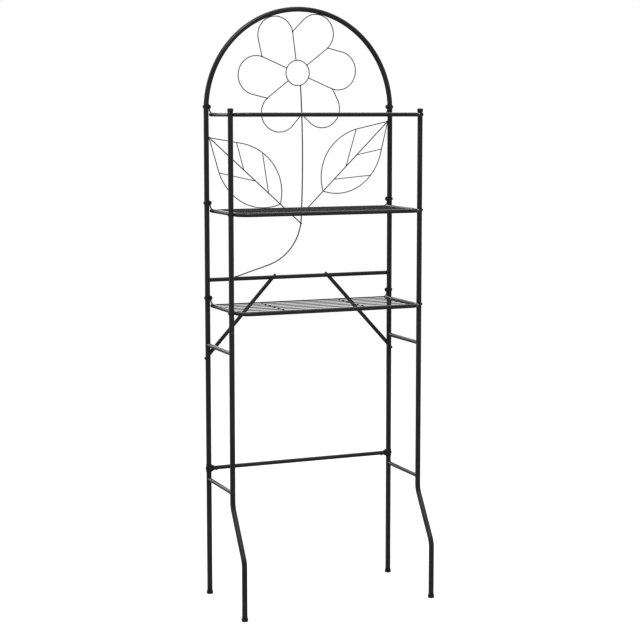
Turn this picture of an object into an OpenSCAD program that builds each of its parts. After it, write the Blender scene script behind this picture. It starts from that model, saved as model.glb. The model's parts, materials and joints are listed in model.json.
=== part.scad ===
// Over-the-toilet storage rack in bent steel tube: an arched back frame with a wire flower,
// two side frames whose front legs step forward, three wire shelves and a rear stretcher.
// Millimetres. +Z is up and -Y is the front. The origin is on the floor, midway between the feet.

/* [Overall] */
// Distance between the axes of the left and right tubes
post_span = 517; // [480:1:600]
// Distance between the axes of the rear and front feet
foot_depth = 262; // [240:1:300]
// Distance between the axes of the rear and front uprights at the shelves
post_depth = 180; // [160:1:190]
// Height at which the back frame starts to arch
arch_z = 1261.5; // [1250:0.5:1350]
// Height of the top of the front post caps
post_top_z = 1264.5; // [1264:0.5:1300]

/* [Tubes] */
// Outside diameter of the posts, legs and arch
tube_d = 12.7; // [12.4:0.1:13.2]
// Outside diameter of the rails, rungs and bars
rail_d = 10; // [9.8:0.1:10.6]
// Outside diameter of the braces
brace_d = 9.4; // [9:0.1:9.6]
// Wall thickness of every tube
wall = 1; // [0.8:0.1:1.2]

/* [Shelves] */
// Height of the axis of the bottom shelf's frame
shelf_z = 760.5; // [755:0.5:770]
// Height from one shelf to the next
shelf_step = 244.5; // [235:0.5:244.5]
// Distance of the front rail's axis in front of the front posts
shelf_nose = 35; // [32:1:45]
// Height of the rear shelf bolts above the shelf frame's axis
hanger_rise = 20; // [20:1:24]
// Diameter of the shelf wires
wire_d = 2; // [1.8:0.1:2.4]
// Number of wires between the rear rod and the front rail
wire_count = 6; // [4:1:8]

/* [Side frames] */
// Height of the joint in the rear legs
rear_joint_z = 742; // [730:1:744]
// Height of the joint in the front legs
front_joint_z = 711; // [690:1:730]
// Height of the upper side rung
upper_rung_z = 659; // [650:1:680]
// Height of the lower side rung
lower_rung_z = 306; // [300:1:320]
// Height of the upper bend of the front leg
upper_knee_z = 272; // [262:1:274]
// Height of the lower bend of the front leg
lower_knee_z = 147; // [130:1:155]
// Radius of the leg bends on the tube's axis
knee_r = 45; // [35:1:50]

/* [Back bars] */
// Height of the crossbar's axis
crossbar_z = 827; // [820:1:835]
// Height of the lower stretcher's axis
stretcher_z = 334.5; // [330:0.5:345]
// Distance of each brace's top from the centre
brace_top_x = 78; // [65:1:95]
// Height at which a brace meets the leg
brace_foot_z = 638; // [630:1:642]

/* [Flower] */
// Diameter of the flower wire
flower_d = 2; // [1.8:0.1:2.2]
// Diameter of the leaves' midribs
midrib_d = 2.3; // [2.2:0.1:2.4]
// Diameter of the leaves' veins
vein_d = 1.8; // [1.6:0.1:1.8]
// Diameter of the stem
stem_d = 2.6; // [2.4:0.1:3]
// Radius of the flower's centre ring
ring_r = 32.5; // [28:0.5:36]
// Length of each leaf
leaf_length = 261; // [250:1:265]

/* [Fasteners] */
// Diameter of the bolt shanks
bolt_d = 4.8; // [4.6:0.1:5]
// Diameter of the bolt holes
hole_d = 5.2; // [5.1:0.1:5.5]
// Diameter of the bevelled bolt heads
head_d = 8; // [7.5:0.5:9]
// Width of the nuts across their flats
nut_af = 8; // [7.5:0.5:8]

/* [Hidden] */
$fn = 48;
section_facets = 32;
bend_steps = 12;
half_span = post_span / 2;
tube_r = tube_d / 2;
rail_r = rail_d / 2;
bore_d = tube_d - 2 * wall;
seam_h = 0.6;
seam_rise = 0.06;
rear_y = foot_depth / 2;
front_y = rear_y - post_depth;
foot_y = -foot_depth / 2;

// Shelves
levels = [0, 1, 2];
rail_x = half_span - tube_r - rail_r;
nose_y = front_y - shelf_nose;
nose_r = 30;
wire_pitch = (rear_y - nose_y) / (wire_count + 1);
wire_rise = 1;
cross_wire_x = 110;
rod_d = 3;
rod_bend_r = 12;
rod_y = rear_y - (rod_d + stem_d) / 2;
rod_inset = 0.1;
rod_overlap = 1.6;
eye_d = 12;
eye_t = 2;
eye_x = half_span - tube_r - eye_t;

// Caps, feet and sleeves
foot_cap_d = 15.4;
foot_cap_h = 8;
foot_cap_floor = 2;
post_cap_d = 14.4;
post_cap_h = 8;
post_cap_t = 2;
collar_h = 0.8;
sleeve_len = 50;
sleeve_gap = 0.2;
sleeve_bore_d = bore_d - 3;

// Stretcher connectors
saddle_h = 20;
saddle_w = 13;
saddle_flare = 4.5;
saddle_shoulder_d = 15.5;
saddle_reach = 8;
saddle_neck_d = 12.4;
saddle_seat = 1.5;
spigot_len = 26;
spigot_d = rail_d - 2 * wall - 0.2;
set_screw_x = half_span - tube_r - 14.5;
set_screw_d = 3;
set_head_d = 5;
set_head_h = 1.6;
washer_t = 0.8;

// Braces, as x and z in the back frame's plane
brace_foot = [half_span - tube_r, brace_foot_z];
brace_top = [brace_top_x, crossbar_z];
brace_len = norm(brace_top - brace_foot);
brace_up = (brace_top - brace_foot) / brace_len;
brace_overrun = tube_r / abs(brace_up.x);
brace_plug = 24;
brace_screw_d = 4;
brace_screw_hole_d = 4.4;
brace_screw_grip = 20;
brace_head_d = 5.8;
brace_head_h = 3.4;

// Fasteners
head_h = 1.8;
head_skirt = 2;
flat_head_h = 1;
socket_af = 3;
socket_depth = 0.7;
head_top_d = head_d - 2;
nut_h = 3;
thread_out = 0.8;

// Flower, as x and z in the back frame's plane
flower_c = [-6.8, 1356.5];
petal_count = 6;
petal_step = 360 / petal_count;
petal_start = 67.5;
petal_node_r = 107;
petal_bend_r = 103;
petal_r = 50;
arch_petals = 2;
arch_gap = 0.05;
stem_gap = 4;
stem_shift = 1.4;
stem_head = [1.2, flower_c.y - ring_r];
stem_knee = [2.5, 977.5];
stem_bow = 4.7;
stem_turn_r = 130;
stem_turn = 70.3;
leaf_left_tip = [-251, 1191];
leaf_left_turn = -41.7;
leaf_right_tip = [252.2, 1231];
leaf_right_turn = 224.2;
leaf_half_w = 68;
leaf_wide_at = 150;
leaf_tip_angle = 32;
leaf_left_stalk = 339;
leaf_right_stalk = 347.5;
// Each vein: side of the midrib, start along the outline, end along the midrib
leaf_veins = [[1, 64, 126], [-1, 80, 169], [1, 135, 217]];

frame_colour = [0.06, 0.06, 0.065];
plastic_colour = [0.03, 0.03, 0.03];
steel_colour = [0.2, 0.2, 0.21];

// ---------- building blocks ----------

// Cross-section of a tube, or of a solid wire when the wall is zero
module section(d, w) {
    difference() {
        circle(d = d, $fn = section_facets);
        if (w > 0) circle(d = d - 2 * w, $fn = section_facets);
    }
}

// Straight tube in the local XY plane from point p to point q
module run(p, q, d, w = 0) {
    translate([p.x, p.y, 0])
        rotate([0, 0, atan2(q.y - p.y, q.x - p.x)])
            rotate([0, 90, 0]) linear_extrude(norm(q - p)) section(d, w);
}

// Bent tube in the local XY plane: centre c, axis radius r, from angle start through sweep
module bend(c, r, start, sweep, d, w = 0) {
    translate([c.x, c.y, 0])
        rotate([0, 0, start])
            rotate_extrude(angle = sweep, $fn = max($fn, bend_steps * 360 / sweep))
                translate([r, 0]) section(d, w);
}

// Hair-thin band over the seam between two lengths of tube in the local XY plane
module seam(p, heading, d, w = 0) {
    translate([p.x, p.y, 0]) rotate([0, 0, heading]) rotate([0, 90, 0])
        translate([0, 0, -seam_h / 2]) linear_extrude(seam_h) section(d + seam_rise, w + seam_rise);
}

// Upright tube on the XY origin
module upright(z0, z1, d, w = wall) {
    translate([0, 0, z0]) linear_extrude(z1 - z0) section(d, w);
}

// Round bar along +X
module bar_x(len, d) {
    rotate([0, 90, 0]) cylinder(d = d, h = len);
}

// Stands a drawing of (x, z) points up in the plane of the back frame
module in_back_plane() {
    translate([0, rear_y, 0]) rotate([90, 0, 0]) children();
}

// The same just in front of the stem, for the shelves' rear rods
module in_rod_plane() {
    translate([0, rod_y - rear_y, 0]) in_back_plane() children();
}

// Stands a drawing of (y, z) points up in the plane of a side frame
module in_side_plane(side) {
    translate([side * half_span, 0, 0]) rotate([90, 0, 90]) children();
}

// Places children at a post, with +X pointing outwards
module at_post(side, y, z = 0) {
    translate([side * half_span, y, z]) mirror([side < 0 ? 1 : 0, 0, 0]) children();
}

// Bolt hole through a post along X
module post_hole(z) {
    translate([-tube_d, 0, z]) bar_x(2 * tube_d, hole_d);
}

function level_z(level) = shelf_z + level * shelf_step;

// ---------- back frame ----------

module back_frame() {
    color(frame_colour) difference() {
        union() {
            in_back_plane() bend([0, arch_z], half_span, 0, 180, tube_d, wall);
            for (side = [-1, 1])
                translate([side * half_span, rear_y, 0])
                    upright(rear_joint_z + collar_h / 2, arch_z, tube_d);
        }
        for (side = [-1, 1], level = levels)
            at_post(side, rear_y) post_hole(level_z(level) + hanger_rise);
    }
}

module crossbar() {
    color(frame_colour) difference() {
        translate([-half_span, rear_y, crossbar_z])
            rotate([0, 90, 0]) linear_extrude(post_span) section(rail_d, wall);
        for (side = [-1, 1])
            translate([side * half_span, rear_y, crossbar_z - rail_d])
                cylinder(d = tube_d, h = 2 * rail_d);
        for (side = [-1, 1])
            mirror([side < 0 ? 1 : 0, 0, 0]) brace_line(-tube_d, 2 * tube_d, brace_screw_hole_d, brace_len);
    }
}

// ---------- side frames ----------

module rear_leg(side) {
    color(frame_colour) difference() {
        at_post(side, rear_y) difference() {
            upright(foot_cap_floor, rear_joint_z - collar_h / 2, tube_d);
            post_hole(stretcher_z);
        }
        mirror([side < 0 ? 1 : 0, 0, 0]) brace_line(-4 * tube_d, 5 * tube_d, brace_screw_hole_d);
    }
}

// The front leg comes straight down, slants forward between two bends and stands upright again
module front_leg(side) {
    step = front_y - foot_y;
    lean = atan2(step, upper_knee_z - lower_knee_z);
    tangent = knee_r * tan(lean / 2);
    toward = [-sin(lean), -cos(lean)];
    upper_knee = [front_y, upper_knee_z];
    lower_knee = [foot_y, lower_knee_z];
    color(frame_colour) in_side_plane(side) {
        run([front_y, upper_knee_z + tangent], [front_y, front_joint_z - collar_h / 2], tube_d, wall);
        bend([front_y - knee_r, upper_knee_z + tangent], knee_r, -lean, lean, tube_d, wall);
        run(upper_knee + tangent * toward, lower_knee - tangent * toward, tube_d, wall);
        bend([foot_y + knee_r, lower_knee_z - tangent], knee_r, 180 - lean, lean, tube_d, wall);
        run([foot_y, foot_cap_floor], [foot_y, lower_knee_z - tangent], tube_d, wall);
        seam([front_y, upper_knee_z + tangent], 90, tube_d, wall);
        seam(upper_knee + tangent * toward, -90 - lean, tube_d, wall);
        seam(lower_knee - tangent * toward, -90 - lean, tube_d, wall);
        seam([foot_y, lower_knee_z - tangent], 90, tube_d, wall);
    }
}

module front_post(side) {
    color(frame_colour) at_post(side, front_y) difference() {
        upright(front_joint_z + collar_h / 2, post_top_z - post_cap_t, tube_d);
        for (level = levels) post_hole(level_z(level));
    }
}

// Rung between the rear and front tubes of a side frame, its ends cut to fit them
module rung(side, z) {
    color(frame_colour) difference() {
        in_side_plane(side) run([front_y, z], [rear_y, z], rail_d, wall);
        for (y = [front_y, rear_y])
            at_post(side, y, z - rail_d) cylinder(d = tube_d, h = 2 * rail_d);
    }
}

// Insert inside a tube joint, with a collar that shows between the two tube ends
module sleeve(side, y, z) {
    color(steel_colour) at_post(side, y, z) difference() {
        union() {
            translate([0, 0, -sleeve_len / 2]) cylinder(d = bore_d - sleeve_gap, h = sleeve_len);
            translate([0, 0, -collar_h / 2]) cylinder(d = tube_d, h = collar_h);
        }
        translate([0, 0, -sleeve_len]) cylinder(d = sleeve_bore_d, h = 2 * sleeve_len);
    }
}

module foot(side, y) {
    color(plastic_colour) at_post(side, y) difference() {
        union() {
            cylinder(d1 = foot_cap_d - 1, d2 = foot_cap_d, h = 1);
            translate([0, 0, 1]) cylinder(d = foot_cap_d, h = foot_cap_h - 1);
        }
        translate([0, 0, foot_cap_floor]) cylinder(d = tube_d, h = foot_cap_h);
    }
}

module post_cap(side) {
    top = post_top_z;
    color(plastic_colour) at_post(side, front_y, top - post_cap_h) difference() {
        union() {
            cylinder(d = post_cap_d, h = post_cap_h - 1);
            translate([0, 0, post_cap_h - 1]) cylinder(d1 = post_cap_d, d2 = post_cap_d - 2, h = 1);
        }
        translate([0, 0, -1]) cylinder(d = tube_d, h = post_cap_h - post_cap_t + 1);
    }
}

// ---------- back bars below the shelves ----------

module stretcher() {
    end_x = half_span - tube_r - saddle_seat;
    color(frame_colour) difference() {
        translate([-end_x, rear_y, stretcher_z])
            rotate([0, 90, 0]) linear_extrude(2 * end_x) section(rail_d, wall);
        for (side = [-1, 1])
            translate([side * set_screw_x, rear_y, stretcher_z - rail_d])
                cylinder(d = set_screw_d, h = rail_d);
    }
}

// Plastic end of the stretcher: a flared saddle against the leg, a neck around the bar's end
// and a spigot inside it
module stretcher_saddle(side) {
    face = -tube_r;
    color(plastic_colour) at_post(side, rear_y, stretcher_z) difference() {
        union() {
            intersection() {
                translate([face - saddle_flare, 0, 0])
                    rotate([0, 90, 0]) cylinder(d1 = saddle_shoulder_d, d2 = saddle_h, h = saddle_flare);
                translate([-saddle_h, -saddle_w / 2, -saddle_h])
                    cube([2 * saddle_h, saddle_w, 2 * saddle_h]);
            }
            intersection() {
                translate([face, 0, 0]) bar_x(tube_r - 2, saddle_h);
                translate([-saddle_h, -saddle_w / 2, -saddle_h])
                    cube([2 * saddle_h, saddle_w, 2 * saddle_h]);
            }
            translate([face - saddle_reach, 0, 0]) bar_x(saddle_reach, saddle_neck_d);
        }
        difference() {
            translate([face - saddle_h, 0, 0]) bar_x(saddle_h - saddle_seat, rail_d);
            translate([face - spigot_len, 0, 0]) bar_x(spigot_len, spigot_d);
        }
        translate([0, 0, -saddle_h]) cylinder(d = tube_d, h = 2 * saddle_h);
        translate([face - spigot_len, 0, 0]) bar_x(spigot_len + tube_d, bolt_d);
    }
    color(plastic_colour) at_post(side, rear_y, stretcher_z) difference() {
        translate([face - spigot_len, 0, 0]) bar_x(spigot_len - saddle_reach, spigot_d);
        translate([face - 2 * spigot_len, 0, 0]) bar_x(2 * spigot_len, bolt_d);
        translate([-half_span + set_screw_x, 0, -rail_d]) cylinder(d = set_screw_d, h = rail_d);
    }
}

// Curved washers between the stretcher bolts' heads and the legs
module stretcher_washers() {
    for (side = [-1, 1])
        color(plastic_colour) at_post(side, rear_y, stretcher_z) difference() {
            intersection() {
                translate([0, 0, -saddle_h / 2]) cylinder(r = tube_r + washer_t, h = saddle_h);
                translate([tube_r - 3, -saddle_w / 2, -saddle_h])
                    cube([saddle_w, saddle_w, 2 * saddle_h]);
            }
            translate([0, 0, -saddle_h]) cylinder(d = tube_d, h = 2 * saddle_h);
            bar_x(tube_d, hole_d);
        }
}

// Round bar on the right brace's axis, starting at a distance from its foot
module brace_line(from, len, d, along = 0) {
    start = brace_foot + (along + from) * brace_up;
    in_back_plane() run(start, start + len * brace_up, d);
}

// Diagonal brace: a tube with solid ends, shaped to the crossbar and the leg, and screwed at
// both ends along its own axis
module brace(side) {
    color(frame_colour) mirror([side < 0 ? 1 : 0, 0, 0]) difference() {
        brace_line(-brace_overrun, brace_len + brace_overrun, brace_d);
        brace_line(brace_plug, brace_len - 2 * brace_plug, brace_d - 2 * wall);
        brace_line(-2 * brace_overrun, brace_screw_grip + 2 * brace_overrun, brace_screw_d);
        brace_line(-brace_screw_grip, 2 * brace_screw_grip, brace_screw_d, brace_len);
        translate([-half_span, rear_y, crossbar_z]) bar_x(post_span, rail_d);
        translate([half_span, rear_y, brace_foot_z - 2 * tube_d]) cylinder(d = tube_d, h = 4 * tube_d);
    }
}

// ---------- shelves ----------

// Bent frame tube: the front rail and two side rails that end at the rear rod
module shelf_frame(level) {
    straight_x = rail_x - nose_r;
    color(frame_colour) translate([0, 0, level_z(level)]) difference() {
        union() {
            run([-straight_x, nose_y], [straight_x, nose_y], rail_d, wall);
            bend([straight_x, nose_y + nose_r], nose_r, -90, 90, rail_d, wall);
            bend([-straight_x, nose_y + nose_r], nose_r, 180, 90, rail_d, wall);
            for (side = [-1, 1])
                run([side * rail_x, nose_y + nose_r], [side * rail_x, rod_y - rod_d / 2], rail_d, wall);
        }
        for (side = [-1, 1])
            translate([side * rail_x - rail_d, front_y, 0]) bar_x(2 * rail_d, hole_d);
    }
}

// Rod along the back of a shelf, its ends bent up to flat eyes bolted inside the rear uprights
module shelf_rear_rod(level) {
    eye_z = level_z(level) + hanger_rise;
    rod_x = eye_x + eye_t - rod_d / 2 - rod_inset;
    rod_z = level_z(level) + rod_d / 2;
    bend_x = rod_x - rod_bend_r;
    color(frame_colour) difference() {
        union() {
            in_rod_plane() run([-bend_x, rod_z], [bend_x, rod_z], rod_d);
            for (side = [-1, 1]) mirror([side < 0 ? 1 : 0, 0, 0]) {
                translate([eye_x, rear_y, eye_z]) bar_x(eye_t, eye_d);
                in_rod_plane() {
                    bend([bend_x, rod_z + rod_bend_r], rod_bend_r, -90, 90, rod_d);
                    run([rod_x, rod_z + rod_bend_r], [rod_x, eye_z - eye_d / 2 + rod_overlap], rod_d);
                }
            }
        }
        for (side = [-1, 1]) mirror([side < 0 ? 1 : 0, 0, 0])
            translate([eye_x - eye_t, rear_y, eye_z]) bar_x(3 * eye_t, hole_d);
    }
}

// Long wires between the side rails
module shelf_wires(level) {
    color(frame_colour) translate([0, 0, level_z(level) + wire_rise]) difference() {
        for (i = [1:wire_count])
            translate([-rail_x, rear_y - i * wire_pitch, 0]) bar_x(2 * rail_x, wire_d);
        for (side = [-1, 1])
            translate([side * rail_x, nose_y, -wire_rise])
                rotate([-90, 0, 0]) cylinder(d = rail_d, h = rear_y - nose_y);
    }
}

// Cross wires under the long wires, from the rear rod to the front rail
module shelf_cross_wires(level) {
    color(frame_colour) translate([0, 0, level_z(level)]) difference() {
        for (side = [-1, 1])
            translate([side * cross_wire_x, nose_y, wire_rise - wire_d])
                rotate([-90, 0, 0]) cylinder(d = wire_d, h = rod_y - nose_y + rod_d / 2);
        translate([-half_span, nose_y, 0]) bar_x(post_span, rail_d);
    }
}

// ---------- flower ----------

module flower_ring() {
    color(frame_colour) in_back_plane() bend(flower_c, ring_r, 0, 360, flower_d);
}

function polar(r, a) = [r * cos(a), r * sin(a)];

// Direction of the line between a petal and the one before it; the stem takes the place of one
function petal_edge(i) =
    petal_start + (i - 0.5) * petal_step - (i == stem_gap ? stem_shift : 0);

// Radius of a petal's round part when it touches the arch, starting at petal_bend_r on the line at angle a
function arch_round_r(a) =
    let (
        from_arch = flower_c + polar(petal_bend_r, a) - [0, arch_z],
        reach = half_span - tube_r - flower_d / 2 - arch_gap
    )
    (reach * reach - from_arch * from_arch) / (2 * (reach + from_arch * polar(1, a + 90)));

function petal_round_r(i) = i < arch_petals ? arch_round_r(petal_edge(i)) : petal_r;

// Centre of a petal's round part; the petal that starts on the stem stands evenly between its two lines
function petal_round_c(i) =
    i == stem_gap
        ? flower_c + polar(norm([petal_bend_r, petal_r]), (petal_edge(i) + petal_edge(i + 1)) / 2)
        : flower_c + polar(petal_bend_r, petal_edge(i)) + polar(petal_round_r(i), petal_edge(i) + 90);

// One petal's wire: out from the ring or the stem, round the petal and straight on to the next wire,
// where it is cut flat
module petal(i) {
    start = flower_c + polar(i == stem_gap ? petal_node_r : ring_r + flower_d / 2, petal_edge(i));
    end = flower_c + polar(petal_node_r, petal_edge(i + 1));
    c = petal_round_c(i);
    r = petal_round_r(i);
    on_angle = atan2(start.y - c.y, start.x - c.x) + acos(r / norm(start - c));
    off_angle = atan2(end.y - c.y, end.x - c.x) - acos(r / norm(end - c));
    on = c + polar(r, on_angle);
    off = c + polar(r, off_angle);
    color(frame_colour) in_back_plane() difference() {
        union() {
            run(start, on, flower_d);
            bend(c, r, on_angle, (off_angle - on_angle + 720) % 360, flower_d);
            run(off, end, flower_d);
            seam(on, on_angle + 90, flower_d);
            seam(off, off_angle + 90, flower_d);
        }
        stem_arc();
        if (i + 1 != stem_gap)
            translate([end.x, end.y, -flower_d]) rotate([0, 0, petal_edge(i + 1)])
                translate([-3 * flower_d, -flower_d / 2, 0]) cube([6 * flower_d, 3 * flower_d, 2 * flower_d]);
    }
}

// Upper stretch of the stem, bowed a little to the right
module stem_arc() {
    chord = stem_head - stem_knee;
    length = norm(chord);
    r = (length * length / 4 + stem_bow * stem_bow) / (2 * stem_bow);
    half_angle = asin(length / 2 / r);
    lean = atan2(chord.y, chord.x) - 90;
    middle = (stem_head + stem_knee) / 2;
    centre = middle - (r - stem_bow) * polar(1, lean);
    bend(centre, r, lean - half_angle, 2 * half_angle, stem_d);
}

module flower_stem() {
    chord = stem_head - stem_knee;
    length = norm(chord);
    r = (length * length / 4 + stem_bow * stem_bow) / (2 * stem_bow);
    lean = atan2(chord.y, chord.x) - 90 - asin(length / 2 / r);
    turn_c = stem_knee - stem_turn_r * polar(1, lean);
    turn_end = turn_c + stem_turn_r * polar(1, lean - stem_turn);
    heading = polar(1, lean - stem_turn - 90);
    reach = (turn_end.y - crossbar_z) / -heading.y;
    color(frame_colour) difference() {
        in_back_plane() difference() {
            union() {
                stem_arc();
                bend(turn_c, stem_turn_r, lean - stem_turn, stem_turn, stem_d);
                run(turn_end, turn_end + reach * heading, stem_d);
                seam(stem_knee, lean - 90, stem_d);
                seam(turn_end, lean - stem_turn - 90, stem_d);
            }
            bend(flower_c, ring_r, 0, 360, flower_d);
        }
        translate([-half_span, rear_y, crossbar_z]) bar_x(post_span, rail_d);
    }
}

// Half-width of a leaf's outline at a distance along it, past the straight stretch at the tip
function leaf_edge(at, r) = leaf_half_w - r + sqrt(r * r - pow(leaf_wide_at - at, 2));

// Length of the straight stretch at the tip, and the radii before and after the widest place
leaf_t = tan(leaf_tip_angle);
leaf_k = (1 - cos(leaf_tip_angle)) / sin(leaf_tip_angle);
leaf_straight = (leaf_half_w - leaf_k * leaf_wide_at) / (leaf_t - leaf_k);
leaf_r1 = (leaf_wide_at - leaf_straight) / sin(leaf_tip_angle);
leaf_tail = leaf_length - leaf_wide_at;
leaf_r2 = (leaf_tail * leaf_tail + leaf_half_w * leaf_half_w) / (2 * leaf_half_w);
leaf_tail_angle = asin(leaf_tail / leaf_r2);

// One side of a leaf, drawn along +X from its tip
module leaf_side() {
    intersection() {
        union() {
            run(-flower_d * [cos(leaf_tip_angle), sin(leaf_tip_angle)],
                leaf_straight * [1, leaf_t], flower_d);
            bend([leaf_wide_at, leaf_half_w - leaf_r1], leaf_r1, 90, leaf_tip_angle, flower_d);
            bend([leaf_wide_at, leaf_half_w - leaf_r2], leaf_r2, 89 - leaf_tail_angle,
                 leaf_tail_angle + 1, flower_d);
            seam(leaf_straight * [1, leaf_t], leaf_tip_angle, flower_d);
            seam([leaf_wide_at, leaf_half_w], 0, flower_d);
        }
        translate([-leaf_length, 0, -flower_d]) cube([3 * leaf_length, leaf_length, 2 * flower_d]);
    }
}

module leaf_outline() {
    difference() {
        for (side = [0, 1]) mirror([0, side, 0]) leaf_side();
        run([leaf_wide_at, 0], [leaf_length + leaf_half_w, 0], midrib_d);
    }
}

// Midrib with its stalk, and the slanting veins
module leaf_ribs(stalk) {
    start = 1.1 * flower_d / 2 / sin(leaf_tip_angle) + flower_d;
    run([start, 0], [stalk, 0], midrib_d);
    for (v = leaf_veins) {
        from = [v[1], v[0] * (v[1] < leaf_straight ? leaf_t * v[1] : leaf_edge(v[1], leaf_r1))];
        to = [v[2], 0];
        along = (to - from) / norm(to - from);
        inset = flower_d / 2;
        difference() {
            run(from + inset * along, to, vein_d);
            run([0, 0], [leaf_length, 0], midrib_d);
        }
    }
}

module place_leaf(tip, turn) {
    in_back_plane() translate([tip.x, tip.y, 0]) rotate([0, 0, turn]) children();
}

module upright_cut(side) {
    translate([side * half_span, rear_y, arch_z - 200]) cylinder(d = tube_d, h = 200);
}

module leaf_left() {
    color(frame_colour) difference() {
        place_leaf(leaf_left_tip, leaf_left_turn) leaf_outline();
        upright_cut(-1);
    }
}

module leaf_left_ribs() {
    color(frame_colour) difference() {
        place_leaf(leaf_left_tip, leaf_left_turn) leaf_ribs(leaf_left_stalk);
        in_back_plane() stem_arc();
    }
}

module leaf_right() {
    color(frame_colour) difference() {
        place_leaf(leaf_right_tip, leaf_right_turn) leaf_outline();
        upright_cut(1);
    }
}

module leaf_right_ribs() {
    color(frame_colour) difference() {
        place_leaf(leaf_right_tip, leaf_right_turn) leaf_ribs(leaf_right_stalk);
        in_back_plane() stem_arc();
    }
}

// ---------- fasteners ----------

// Bolt along X at a post: bevelled head with a hex socket outside, shank running inwards
module post_bolt(grip, seat = 0, rise = head_h) {
    difference() {
        translate([tube_r + seat, 0, 0]) rotate([0, 90, 0]) {
            translate([0, 0, -head_skirt]) cylinder(d = head_d, h = head_skirt + rise / 2);
            translate([0, 0, rise / 2]) cylinder(d1 = head_d, d2 = head_top_d, h = rise / 2);
        }
        translate([tube_r + seat + rise - socket_depth, 0, 0])
            rotate([0, 90, 0]) cylinder(d = socket_af / cos(30), h = tube_d, $fn = 6);
        translate([0, 0, -head_d]) cylinder(r = tube_r + seat, h = 2 * head_d);
    }
    translate([-tube_r - grip, 0, 0]) bar_x(tube_d + grip + seat + 1, bolt_d);
}

module rear_shelf_bolts() {
    grip = eye_t + nut_h + thread_out;
    for (side = [-1, 1], level = levels)
        color(steel_colour) at_post(side, rear_y, level_z(level) + hanger_rise) post_bolt(grip);
}

module front_shelf_bolts() {
    grip = rail_d + nut_h + thread_out;
    for (side = [-1, 1], level = levels)
        color(steel_colour) at_post(side, front_y, level_z(level)) post_bolt(grip);
}

// Screws through the legs along the braces' axes, with round heads on the outside
module brace_bolts() {
    outside = tube_d / abs(brace_up.x);
    for (side = [-1, 1])
        color(steel_colour) mirror([side < 0 ? 1 : 0, 0, 0]) {
            brace_line(-outside - 1, outside + brace_screw_grip, brace_screw_d);
            difference() {
                brace_line(-outside - brace_head_h, 2 * brace_head_h, brace_head_d);
                translate([half_span, rear_y, brace_foot_z - 4 * tube_d])
                    cylinder(d = tube_d, h = 6 * tube_d);
            }
        }
}

module stretcher_bolts() {
    for (side = [-1, 1])
        color(steel_colour) at_post(side, rear_y, stretcher_z) 
            post_bolt(spigot_len - 2, washer_t, flat_head_h);
}

// Small screws up through the stretcher into the spigots
module stretcher_screws() {
    for (side = [-1, 1])
        color(steel_colour) translate([side * set_screw_x, rear_y, stretcher_z]) difference() {
            union() {
                translate([0, 0, -rail_r]) cylinder(d = set_screw_d - 0.2, h = rail_r - bolt_d / 2);
                translate([0, 0, -rail_r - set_head_h]) cylinder(d = set_head_d, h = set_head_h + 0.8);
            }
            difference() {
                translate([-rail_d, 0, 0]) bar_x(2 * rail_d, rail_d);
                translate([0, 0, -rail_d]) cylinder(d = set_screw_d - 0.2, h = rail_d);
            }
        }
}

// Screws through the crossbar along the braces' axes, with round heads on top
module brace_screws() {
    outside = rail_r / brace_up.y;
    for (side = [-1, 1])
        color(steel_colour) mirror([side < 0 ? 1 : 0, 0, 0]) {
            brace_line(1 - brace_screw_grip, brace_screw_grip + outside, brace_screw_d, brace_len);
            difference() {
                brace_line(outside - brace_head_h, 2 * brace_head_h, brace_head_d, brace_len);
                translate([-half_span, rear_y, crossbar_z]) bar_x(post_span, rail_d);
            }
        }
}

// Nut on a bolt along X, its inner face at the local origin and its body towards -X
module hex_nut() {
    translate([-nut_h, 0, 0]) rotate([0, 90, 0]) difference() {
        cylinder(d = nut_af / cos(30), h = nut_h, $fn = 6);
        translate([0, 0, -1]) cylinder(d = bolt_d, h = nut_h + 2);
    }
}

module hex_nuts() {
    for (side = [-1, 1], level = levels) {
        color(steel_colour) at_post(side, rear_y, level_z(level) + hanger_rise)
            translate([-tube_r - eye_t, 0, 0]) hex_nut();
        color(steel_colour) at_post(side, front_y, level_z(level))
            translate([-tube_r - rail_d, 0, 0]) hex_nut();
    }
}

// ---------- the parts ----------

back_frame();
crossbar();
rear_leg(-1);  // rear_leg_left
rear_leg(1);  // rear_leg_right
front_leg(-1);  // front_leg_left
front_leg(1);  // front_leg_right
front_post(-1);  // front_post_left
front_post(1);  // front_post_right
rung(-1, upper_rung_z);  // upper_rung_left
rung(1, upper_rung_z);  // upper_rung_right
rung(-1, lower_rung_z);  // lower_rung_left
rung(1, lower_rung_z);  // lower_rung_right
stretcher();
stretcher_saddle(-1);  // stretcher_saddle_left
stretcher_saddle(1);  // stretcher_saddle_right
stretcher_washers();
brace(-1);  // brace_left
brace(1);  // brace_right
sleeve(-1, rear_y, rear_joint_z);  // sleeve_rear_left
sleeve(1, rear_y, rear_joint_z);  // sleeve_rear_right
sleeve(-1, front_y, front_joint_z);  // sleeve_front_left
sleeve(1, front_y, front_joint_z);  // sleeve_front_right
foot(-1, rear_y);  // foot_rear_left
foot(1, rear_y);  // foot_rear_right
foot(-1, foot_y);  // foot_front_left
foot(1, foot_y);  // foot_front_right
post_cap(-1);  // post_cap_left
post_cap(1);  // post_cap_right
shelf_frame(0);  // bottom_shelf_frame
shelf_rear_rod(0);  // bottom_shelf_rear_rod
shelf_wires(0);  // bottom_shelf_wires
shelf_cross_wires(0);  // bottom_shelf_cross_wires
shelf_frame(1);  // middle_shelf_frame
shelf_rear_rod(1);  // middle_shelf_rear_rod
shelf_wires(1);  // middle_shelf_wires
shelf_cross_wires(1);  // middle_shelf_cross_wires
shelf_frame(2);  // top_shelf_frame
shelf_rear_rod(2);  // top_shelf_rear_rod
shelf_wires(2);  // top_shelf_wires
shelf_cross_wires(2);  // top_shelf_cross_wires
flower_ring();
petal(0);  // petal_upper_right
petal(1);  // petal_upper_left
petal(2);  // petal_left
petal(3);  // petal_lower_left
petal(4);  // petal_lower_right
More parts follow.
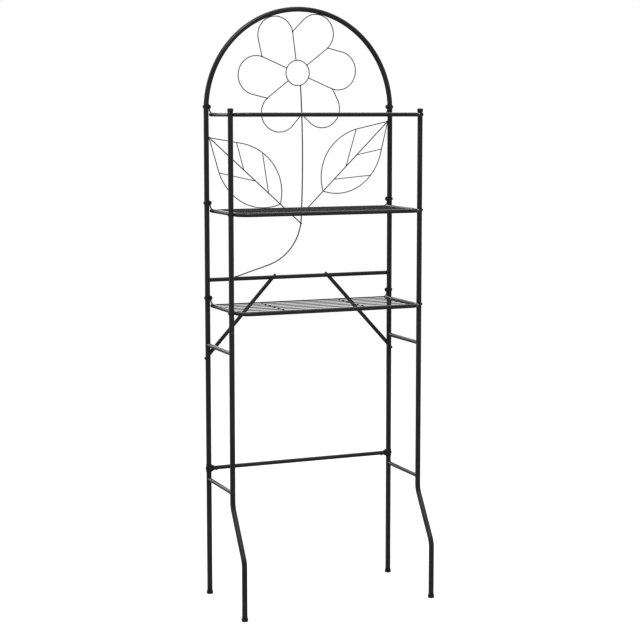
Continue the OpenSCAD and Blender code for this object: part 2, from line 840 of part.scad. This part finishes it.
petal(5);  // petal_right
flower_stem();
leaf_left();
leaf_left_ribs();
leaf_right();
leaf_right_ribs();
rear_shelf_bolts();
front_shelf_bolts();
brace_bolts();
stretcher_bolts();
stretcher_screws();
brace_screws();
hex_nuts();
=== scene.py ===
"""Looks of the over-the-toilet storage rack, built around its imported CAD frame."""
import json
import math
import random

import bmesh
import bpy
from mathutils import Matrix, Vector


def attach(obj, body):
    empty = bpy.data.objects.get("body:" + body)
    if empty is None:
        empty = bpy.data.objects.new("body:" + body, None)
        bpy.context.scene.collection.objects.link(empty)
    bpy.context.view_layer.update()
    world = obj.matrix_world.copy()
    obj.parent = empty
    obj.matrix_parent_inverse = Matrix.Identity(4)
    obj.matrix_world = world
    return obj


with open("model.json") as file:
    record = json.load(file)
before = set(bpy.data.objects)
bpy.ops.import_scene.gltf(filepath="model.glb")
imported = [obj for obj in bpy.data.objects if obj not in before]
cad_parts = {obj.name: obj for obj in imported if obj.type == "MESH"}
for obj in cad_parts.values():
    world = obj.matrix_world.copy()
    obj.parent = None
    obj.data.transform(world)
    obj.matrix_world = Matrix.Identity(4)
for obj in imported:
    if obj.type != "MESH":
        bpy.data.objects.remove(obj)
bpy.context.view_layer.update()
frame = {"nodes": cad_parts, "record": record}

SLOT_OF = {s["node"]: s["material_slot"] for s in frame["record"]["subparts"]}
MM = 0.001


# ---------- materials ----------

# Textures in object space: a drift of the colour, an unevenness of the gloss and an orange peel
DRIFT_SCALE = 14.0
DRIFT_DETAIL = 4.0
DRIFT_STOPS = (0.35, 0.75)
DRIFT_GAIN = 1.35
GLOSS_SCALE = 55.0
GLOSS_DETAIL = 5.0
GLOSS_STOPS = (0.3, 0.7)
PEEL_DETAIL = 2.0
PEEL_STRENGTH = 0.10
PEEL_DEPTH = 0.2 * MM


def plain_material(name, base, roughness):
    """A material of one colour, with its shader."""
    mat = bpy.data.materials.new(name)
    mat.use_nodes = True
    shader = mat.node_tree.nodes["Principled BSDF"]
    shader.inputs["Base Color"].default_value = (*base, 1.0)
    shader.inputs["Roughness"].default_value = roughness
    return mat, shader


def noise(tree, scale, detail):
    """The factor of a noise texture in object space."""
    coord = tree.nodes.new("ShaderNodeTexCoord")
    texture = tree.nodes.new("ShaderNodeTexNoise")
    texture.inputs["Scale"].default_value = scale
    texture.inputs["Detail"].default_value = detail
    tree.links.new(coord.outputs["Object"], texture.inputs["Vector"])
    return texture.outputs["Fac"]


def remap(tree, source, from_range, to_range, interpolation="LINEAR"):
    """Maps a value from one range to another, held at the ends."""
    node = tree.nodes.new("ShaderNodeMapRange")
    node.interpolation_type = interpolation
    node.inputs["From Min"].default_value = from_range[0]
    node.inputs["From Max"].default_value = from_range[1]
    node.inputs["To Min"].default_value = to_range[0]
    node.inputs["To Max"].default_value = to_range[1]
    tree.links.new(source, node.inputs["Value"])
    return node.outputs["Result"]


def blend(tree, source, stops, colours):
    """Turns a factor into a colour: one up to the first stop, another past the second, mixed between."""
    node = tree.nodes.new("ShaderNodeValToRGB")
    for element, stop, colour in zip(node.color_ramp.elements, stops, colours):
        element.position = stop
        element.color = (*colour, 1.0)
    tree.links.new(source, node.inputs["Fac"])
    return node.outputs["Color"]


def bump(tree, source, strength, distance):
    """A normal that rises and falls with a factor."""
    node = tree.nodes.new("ShaderNodeBump")
    node.inputs["Strength"].default_value = strength
    node.inputs["Distance"].default_value = distance
    tree.links.new(source, node.inputs["Height"])
    return node.outputs["Normal"]


def satin(name, base, rough_range, peel_scale):
    """A satin surface: faint colour drift, uneven gloss and a fine orange peel."""
    mat, shader = plain_material(name, base, rough_range[0])
    tree = mat.node_tree
    colours = (base, tuple(c * DRIFT_GAIN for c in base))
    colour = blend(tree, noise(tree, DRIFT_SCALE, DRIFT_DETAIL), DRIFT_STOPS, colours)
    tree.links.new(colour, shader.inputs["Base Color"])
    rough = remap(tree, noise(tree, GLOSS_SCALE, GLOSS_DETAIL), GLOSS_STOPS, rough_range)
    tree.links.new(rough, shader.inputs["Roughness"])
    peel = bump(tree, noise(tree, peel_scale, PEEL_DETAIL), PEEL_STRENGTH, PEEL_DEPTH)
    tree.links.new(peel, shader.inputs["Normal"])
    return mat


# Each material's colour, range of roughness and scale of orange peel
MATERIALS = {
    "frame_paint": satin("frame_paint", (0.046, 0.047, 0.049), (0.26, 0.34), 900.0),
    # The wire paint is the frame's black paint made a little lighter. That is a painted highlight for the
    # light the thin wires catch on their tops.
    "wire_paint": satin("wire_paint", (0.055, 0.056, 0.058), (0.28, 0.38), 1400.0),
    "black_plastic": satin("black_plastic", (0.040, 0.040, 0.041), (0.42, 0.55), 2200.0),
    "black_steel": satin("black_steel", (0.045, 0.045, 0.047), (0.30, 0.45), 1500.0),
    "zinc_steel": satin("zinc_steel", (0.15, 0.15, 0.148), (0.35, 0.50), 1500.0),
}

for name, obj in frame["nodes"].items():
    for slot in obj.material_slots:
        slot.material = MATERIALS[SLOT_OF[name]]


# ---------- weld beads and spot welds ----------

# The rack's own sizes, as its parts have them
HALF_SPAN = 258.5 * MM
REAR_Y = 131 * MM
FRONT_Y = -49 * MM
NOSE_Y = -84 * MM
TUBE_R = 6.35 * MM
RAIL_R = 5 * MM
RAIL_X = HALF_SPAN - TUBE_R - RAIL_R
ARCH_Z = 1261.5 * MM
CROSSBAR_Z = 827 * MM
RUNG_HEIGHTS = (659 * MM, 306 * MM)

# Shelves: six long wires, two cross wires under them and a rod at the back
SHELVES = {"bottom": 760.5 * MM, "middle": 1005 * MM, "top": 1249.5 * MM}
WIRE_R = 1 * MM
WIRE_COUNT = 6
WIRE_PITCH = (REAR_Y - NOSE_Y) / (WIRE_COUNT + 1)
CROSS_WIRE_X = 110 * MM
STEM_R = 1.3 * MM
ROD_R = 1.5 * MM
ROD_Y = REAR_Y - ROD_R - STEM_R

# Flower: petals are counted counterclockwise from the upper right one, and the first two reach the arch
FLOWER_X = -6.8 * MM
FLOWER_Z = 1356.5 * MM
FLOWER_WIRE_R = 1 * MM
RING_R = 32.5 * MM
PETAL_NODE_R = 107 * MM
PETAL_BEND_R = 103 * MM
PETAL_COUNT = 6
PETAL_START = 67.5
ARCH_PETALS = (0, 1)
STEM_PETAL = 4
STEM_SHIFT = 1.4
STEM_HEAD_X = 1.2 * MM

# Beads around the ends of the rungs and the crossbar
BEAD_R = 0.9 * MM
BEAD_RIPPLES = 15
BEAD_STEPS = 48
BEAD_SIDES = 8
RIPPLE_DEPTH = 0.14
RIPPLE_CHANCE = 0.04

# Spot welds: the radii of each along its direction, in depth and across
WIRE_END_SPOT = (1.5 * MM, 1.8 * MM, 1.5 * MM)
CROSSING_SPOT = (1.4 * MM, 1.3 * MM, 0.8 * MM)
NOSE_SPOT = (1.6 * MM, 1.4 * MM, 1.5 * MM)
ROD_END_SPOT = (3.6 * MM, 1.2 * MM, 1.5 * MM)
ROD_END_IN = 2.6 * MM
ROD_END_UP = 1.6 * MM
ROD_END_SLOPE = 0.57
PETAL_SPOT = (2.6 * MM, 1.5 * MM, 1.8 * MM)
RING_SPOT = (1.7 * MM, 1.4 * MM, 1.7 * MM)
RING_SPOT_OUT = 0.6 * MM
STEM_HEAD_SPOT = (1.9 * MM, 1.6 * MM, 1.9 * MM)
ARCH_SPOT = (5.5 * MM, 1.8 * MM, 1.7 * MM)
STEM_ROD_SPOT = (1.9 * MM, 1.2 * MM, 1.9 * MM)
SWELL_WIDE = 0.10
SWELL_FINE = 0.06
SWELL_PHASE = 6.28

chance = random.Random(7)


def new_piece(name, slot, bm):
    """Turns a bmesh into a smooth piece that rides with the rack."""
    mesh = bpy.data.meshes.new(name)
    bmesh.ops.recalc_face_normals(bm, faces=bm.faces)
    bm.to_mesh(mesh)
    bm.free()
    for polygon in mesh.polygons:
        polygon.use_smooth = True
    obj = bpy.data.objects.new(name, mesh)
    bpy.context.scene.collection.objects.link(obj)
    mesh.materials.append(MATERIALS[slot])
    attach(obj, "root")


def spot(bm, centre, radii, along=(1, 0, 0)):
    """An uneven drop of weld metal, its first radius along a direction."""
    turn = Vector((1, 0, 0)).rotation_difference(Vector(along).normalized()).to_matrix()
    made = bmesh.ops.create_icosphere(bm, subdivisions=2, radius=1.0)
    phases = [chance.uniform(0, SWELL_PHASE) for _ in range(3)]
    for vert in made["verts"]:
        x, y, z = vert.co
        swell = 1 + SWELL_WIDE * math.sin(3 * x + phases[0]) * math.cos(4 * y + phases[1])
        swell += SWELL_FINE * math.sin(7 * z + phases[2])
        drop = Vector((x * radii[0], y * radii[1], z * radii[2])) * swell
        vert.co = Vector(centre) + turn @ drop


def ring_twist(ring, following):
    """How many places to turn the second ring of points so that it lines up with the first."""
    def mismatch(turn):
        return sum((a.co - following[(j + turn) % BEAD_SIDES].co).length for j, a in enumerate(ring))
    return min(range(BEAD_SIDES), key=mismatch)


def loop_bead(bm, path):
    """A rippled bead along a closed path of points."""
    count = len(path)
    rings = []
    for i, point in enumerate(path):
        ahead = (path[(i + 1) % count] - path[i - 1]).normalized()
        across = ahead.orthogonal().normalized()
        up = ahead.cross(across)
        ripple = RIPPLE_DEPTH * math.sin(BEAD_RIPPLES * math.tau * i / count)
        r = BEAD_R * (1 + ripple + chance.uniform(-RIPPLE_CHANCE, RIPPLE_CHANCE))
        angles = [math.tau * k / BEAD_SIDES for k in range(BEAD_SIDES)]
        rings.append([bm.verts.new(point + r * (math.cos(a) * across + math.sin(a) * up)) for a in angles])
    for i, ring in enumerate(rings):
        following = rings[(i + 1) % count]
        twist = ring_twist(ring, following)
        for j in range(BEAD_SIDES):
            k = (j + 1) % BEAD_SIDES
            far_k = following[(j + 1 + twist) % BEAD_SIDES]
            far_j = following[(j + twist) % BEAD_SIDES]
            bm.faces.new((ring[j], ring[k], far_k, far_j))


def saddle_path(post_x, post_y, z, heading):
    """Where a level bar meets an upright tube: the points around the bar's end."""
    heading = Vector(heading)
    side = Vector((-heading.y, heading.x, 0))
    points = []
    for i in range(BEAD_STEPS):
        a = math.tau * i / BEAD_STEPS
        sideways = RAIL_R * math.cos(a)
        out = math.sqrt(TUBE_R ** 2 - sideways ** 2)
        points.append(Vector((post_x, post_y, z + RAIL_R * math.sin(a))) + out * heading + sideways * side)
    return points


def frame_welds():
    """Beads where the crossbar and the rungs meet the uprights."""
    bm = bmesh.new()
    for side in (-1, 1):
        x = side * HALF_SPAN
        loop_bead(bm, saddle_path(x, REAR_Y, CROSSBAR_Z, (-side, 0, 0)))
        for z in RUNG_HEIGHTS:
            loop_bead(bm, saddle_path(x, REAR_Y, z, (0, -1, 0)))
            loop_bead(bm, saddle_path(x, FRONT_Y, z, (0, 1, 0)))
    new_piece("frame_welds", "frame_paint", bm)


def shelf_welds(name, z):
    """Spot welds of one shelf: wire ends, crossings and the ends of the rear rod."""
    bm = bmesh.new()
    for side in (-1, 1):
        for i in range(1, WIRE_COUNT + 1):
            y = REAR_Y - i * WIRE_PITCH
            spot(bm, (side * (RAIL_X - RAIL_R), y, z + WIRE_R), WIRE_END_SPOT)
            spot(bm, (side * CROSS_WIRE_X, y, z), CROSSING_SPOT)
        spot(bm, (side * CROSS_WIRE_X, ROD_Y, z), CROSSING_SPOT)
        spot(bm, (side * CROSS_WIRE_X, NOSE_Y + RAIL_R, z - WIRE_R), NOSE_SPOT)
        rod_end = (side * (RAIL_X - ROD_END_IN), ROD_Y - ROD_R, z + ROD_R + ROD_END_UP)
        spot(bm, rod_end, ROD_END_SPOT, (side, 0, ROD_END_SLOPE))
    new_piece(name + "_shelf_welds", "wire_paint", bm)


def flower_point(radius, angle):
    """A point in the flower's plane, at a distance and a direction in degrees from its centre."""
    a = math.radians(angle)
    return Vector((FLOWER_X + radius * math.cos(a), REAR_Y, FLOWER_Z + radius * math.sin(a)))


def flower_heading(angle):
    """A direction in the flower's plane."""
    return flower_point(1, angle) - flower_point(0, angle)


def petal_edge(i):
    """Direction of the line on which a petal's wire starts, in degrees."""
    return PETAL_START + (i - 0.5) * 360 / PETAL_COUNT - (STEM_SHIFT if i == STEM_PETAL else 0)


def arch_touch(angle):
    """Where a petal that starts on a line reaches the arch, and the direction along the arch there."""
    top = Vector((0, REAR_Y, ARCH_Z))
    bend = flower_point(PETAL_BEND_R, angle) - top
    inward = flower_heading(angle + 90)
    reach = HALF_SPAN - TUBE_R - FLOWER_WIRE_R
    radius = (reach ** 2 - bend.length_squared) / (2 * (reach + bend.dot(inward)))
    outward = (bend + radius * inward).normalized()
    return top + (HALF_SPAN - TUBE_R) * outward, Vector((-outward.z, 0, outward.x))


# Where the stem meets the crossbar and the leaves' midribs, and the leaves' tips meet the uprights:
# x, z, radii and direction
STEM_TOUCHES = [
    (-181 * MM, 832.6 * MM, (6 * MM, 1.9 * MM, 1.4 * MM), (0.957, 0, 0.289)),
    (2.1 * MM, 965.5 * MM, (2.6 * MM, 1.7 * MM, 2.0 * MM), (0.75, 0, -0.66)),
    (3.1 * MM, 988.7 * MM, (2.6 * MM, 1.7 * MM, 2.0 * MM), (0.72, 0, 0.70)),
    (-251 * MM, 1190.5 * MM, (2.4 * MM, 2.0 * MM, 3.4 * MM), (1, 0, 0)),
    (251.2 * MM, 1230.2 * MM, (2.4 * MM, 2.0 * MM, 3.0 * MM), (1, 0, 0)),
]
# Where the stem passes behind the shelves' rear rods: x and z
ROD_TOUCHES = [
    (4.6 * MM, SHELVES["top"] + ROD_R),
    (3.85 * MM, SHELVES["middle"] + ROD_R),
]


def flower_welds():
    """Spot welds of the flower, the stem and the leaves."""
    bm = bmesh.new()
    for i in range(PETAL_COUNT):
        angle = petal_edge(i)
        spot(bm, flower_point(PETAL_NODE_R, angle), PETAL_SPOT, flower_heading(angle))
        if i != STEM_PETAL:
            spot(bm, flower_point(RING_R + RING_SPOT_OUT, angle), RING_SPOT, flower_heading(angle))
    spot(bm, (STEM_HEAD_X, REAR_Y, FLOWER_Z - RING_R), STEM_HEAD_SPOT)
    for i in ARCH_PETALS:
        touch, along = arch_touch(petal_edge(i))
        spot(bm, touch, ARCH_SPOT, along)
    for x, z, radii, along in STEM_TOUCHES:
        spot(bm, (x, REAR_Y, z), radii, along)
    for x, z in ROD_TOUCHES:
        spot(bm, (x, REAR_Y - STEM_R, z), STEM_ROD_SPOT)
    new_piece("flower_welds", "wire_paint", bm)


frame_welds()
for level, height in SHELVES.items():
    shelf_welds(level, height)
flower_welds()


# ---------- stage, light and camera ----------

FLOOR_SIZE = 7.0

# What a reflection sees in the studio: over which headings, and how bright from one end to the other
BACK_REACH = (-0.10, 0.60)
BACK_LIGHT = (0.0, 2.6)
ABOVE_REACH = (-0.25, 0.30)
ABOVE_SHARE = (0.12, 1.0)
TOP_REACH = (0.35, 0.95)
TOP_LIGHT = (0.45, 1.6)

# The photo's camera, in metres, degrees and millimetres
CAMERA_PLACE = (-1.6418, -3.8550, 1.2550)
CAMERA_DOWN = 6.534
CAMERA_ROLL = 0.019
CAMERA_TURN = -23.074
CAMERA_LENS = 92.57
CAMERA_SHIFT = -0.03


def pale_floor():
    """A plain pale floor that glossy rays pass through."""
    mesh = bpy.data.meshes.new("floor")
    h = FLOOR_SIZE / 2
    mesh.from_pydata([(-h, -h, 0), (h, -h, 0), (h, h, 0), (-h, h, 0)], [], [(0, 1, 2, 3)])
    obj = bpy.data.objects.new("floor", mesh)
    bpy.context.scene.collection.objects.link(obj)
    mat, shader = plain_material("floor", (0.95, 0.95, 0.95), 0.9)
    shader.inputs["Specular IOR Level"].default_value = 0.0
    mesh.materials.append(mat)
    obj.visible_glossy = False
    return obj


def area_light(name, place, aim, size, power):
    """A square soft light."""
    data = bpy.data.lights.new(name, "AREA")
    data.energy = power
    data.size = size
    obj = bpy.data.objects.new(name, data)
    bpy.context.scene.collection.objects.link(obj)
    obj.location = place
    direction = Vector(aim) - Vector(place)
    obj.rotation_mode = "QUATERNION"
    obj.rotation_quaternion = direction.to_track_quat("-Z", "Y")


def arithmetic(tree, operation, a, b):
    """The result of a maths node over two values."""
    node = tree.nodes.new("ShaderNodeMath")
    node.operation = operation
    tree.links.new(a, node.inputs[0])
    tree.links.new(b, node.inputs[1])
    return node.outputs["Value"]


def studio_world():
    """Soft studio: glossy surfaces see a bright backdrop and a soft top; everything else sees white."""
    world = bpy.data.worlds.new("studio")
    bpy.context.scene.world = world
    world.use_nodes = True
    tree = world.node_tree
    coord = tree.nodes.new("ShaderNodeTexCoord")
    split = tree.nodes.new("ShaderNodeSeparateXYZ")
    tree.links.new(coord.outputs["Generated"], split.inputs["Vector"])
    depth = split.outputs["Y"]
    height = split.outputs["Z"]
    back = remap(tree, depth, BACK_REACH, BACK_LIGHT, "SMOOTHSTEP")
    above = remap(tree, height, ABOVE_REACH, ABOVE_SHARE, "SMOOTHSTEP")
    top = remap(tree, height, TOP_REACH, TOP_LIGHT, "SMOOTHSTEP")
    reflected = arithmetic(tree, "ADD", arithmetic(tree, "MULTIPLY", back, above), top)
    path = tree.nodes.new("ShaderNodeLightPath")
    mix = tree.nodes.new("ShaderNodeMix")
    mix.data_type = "FLOAT"
    mix.inputs["A"].default_value = 1.0
    tree.links.new(path.outputs["Is Glossy Ray"], mix.inputs["Factor"])
    tree.links.new(reflected, mix.inputs["B"])
    background = tree.nodes["Background"]
    background.inputs["Color"].default_value = (1, 1, 1, 1)
    tree.links.new(mix.outputs["Result"], background.inputs["Strength"])


def photo_camera():
    """A camera where the photo's stood, tilted down where that one was shifted."""
    data = bpy.data.cameras.new("camera")
    data.lens = CAMERA_LENS
    data.shift_y = CAMERA_SHIFT
    data.clip_end = 100.0
    obj = bpy.data.objects.new("camera", data)
    bpy.context.scene.collection.objects.link(obj)
    bpy.context.scene.camera = obj
    obj.location = CAMERA_PLACE
    obj.rotation_euler = [math.radians(a) for a in (90 - CAMERA_DOWN, CAMERA_ROLL, CAMERA_TURN)]


floor = pale_floor()
area_light("front_softbox", place=(-0.9, -2.6, 4.2), aim=(0, 0, 0.7), size=1.2, power=90.0)
studio_world()
photo_camera()

# The low gamma darkens pixels that a wire covers only in part, so thin wires look as heavy as in the photo
bpy.context.scene.view_settings.view_transform = "Standard"
bpy.context.scene.view_settings.gamma = 0.6
